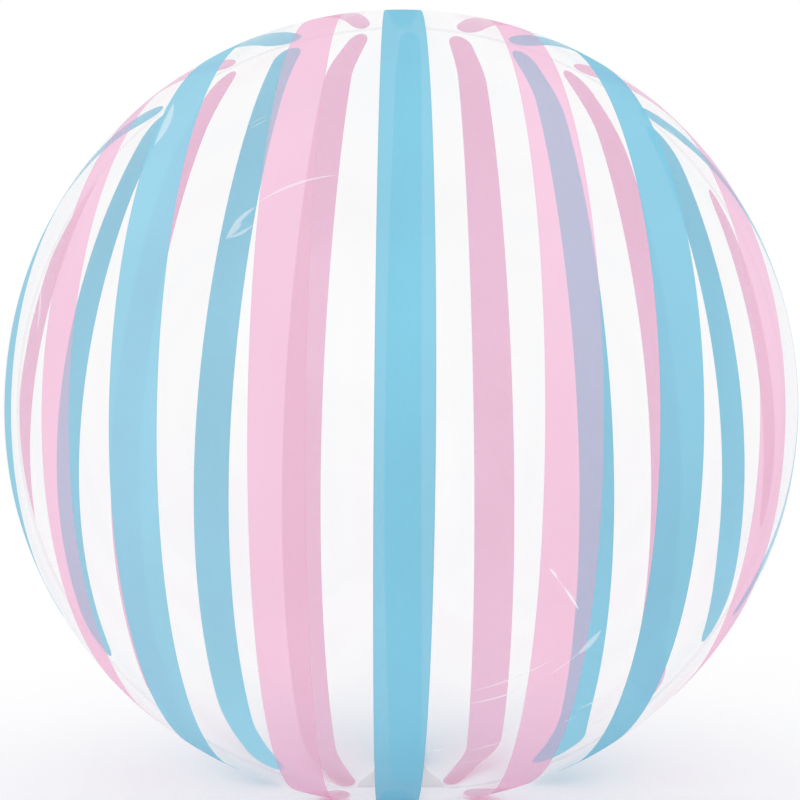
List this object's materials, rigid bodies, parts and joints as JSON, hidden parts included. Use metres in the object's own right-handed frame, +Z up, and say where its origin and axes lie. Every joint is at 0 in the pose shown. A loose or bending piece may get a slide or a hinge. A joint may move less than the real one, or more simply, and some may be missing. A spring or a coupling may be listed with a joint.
{
  "type": "clear bubble balloon",
  "caption": "Inflated round balloon of clear film printed with pale pink and blue stripes, welded round its edge, with a small rest flat and a flat inflation tail folded under it.",
  "frame": {"origin": "middle of the small flat that the balloon sits on, on the surface it stands on", "axes": "+Z is up along the stripes, -Y is towards the viewer through the middle of the front sheet, and the weld runs round the ball in the XZ plane"},
  "size_m": [0.4632, 0.46, 0.4588],
  "materials": {
    "clear_film": "thin glossy clear plastic film",
    "pink_print": "translucent pink ink printed on the film, glossy",
    "blue_print": "translucent sky-blue ink printed on the film, glossy"
  },
  "bodies": {
    "root": {"balloon_envelope": "clear_film"}
  },
  "joints": []
}
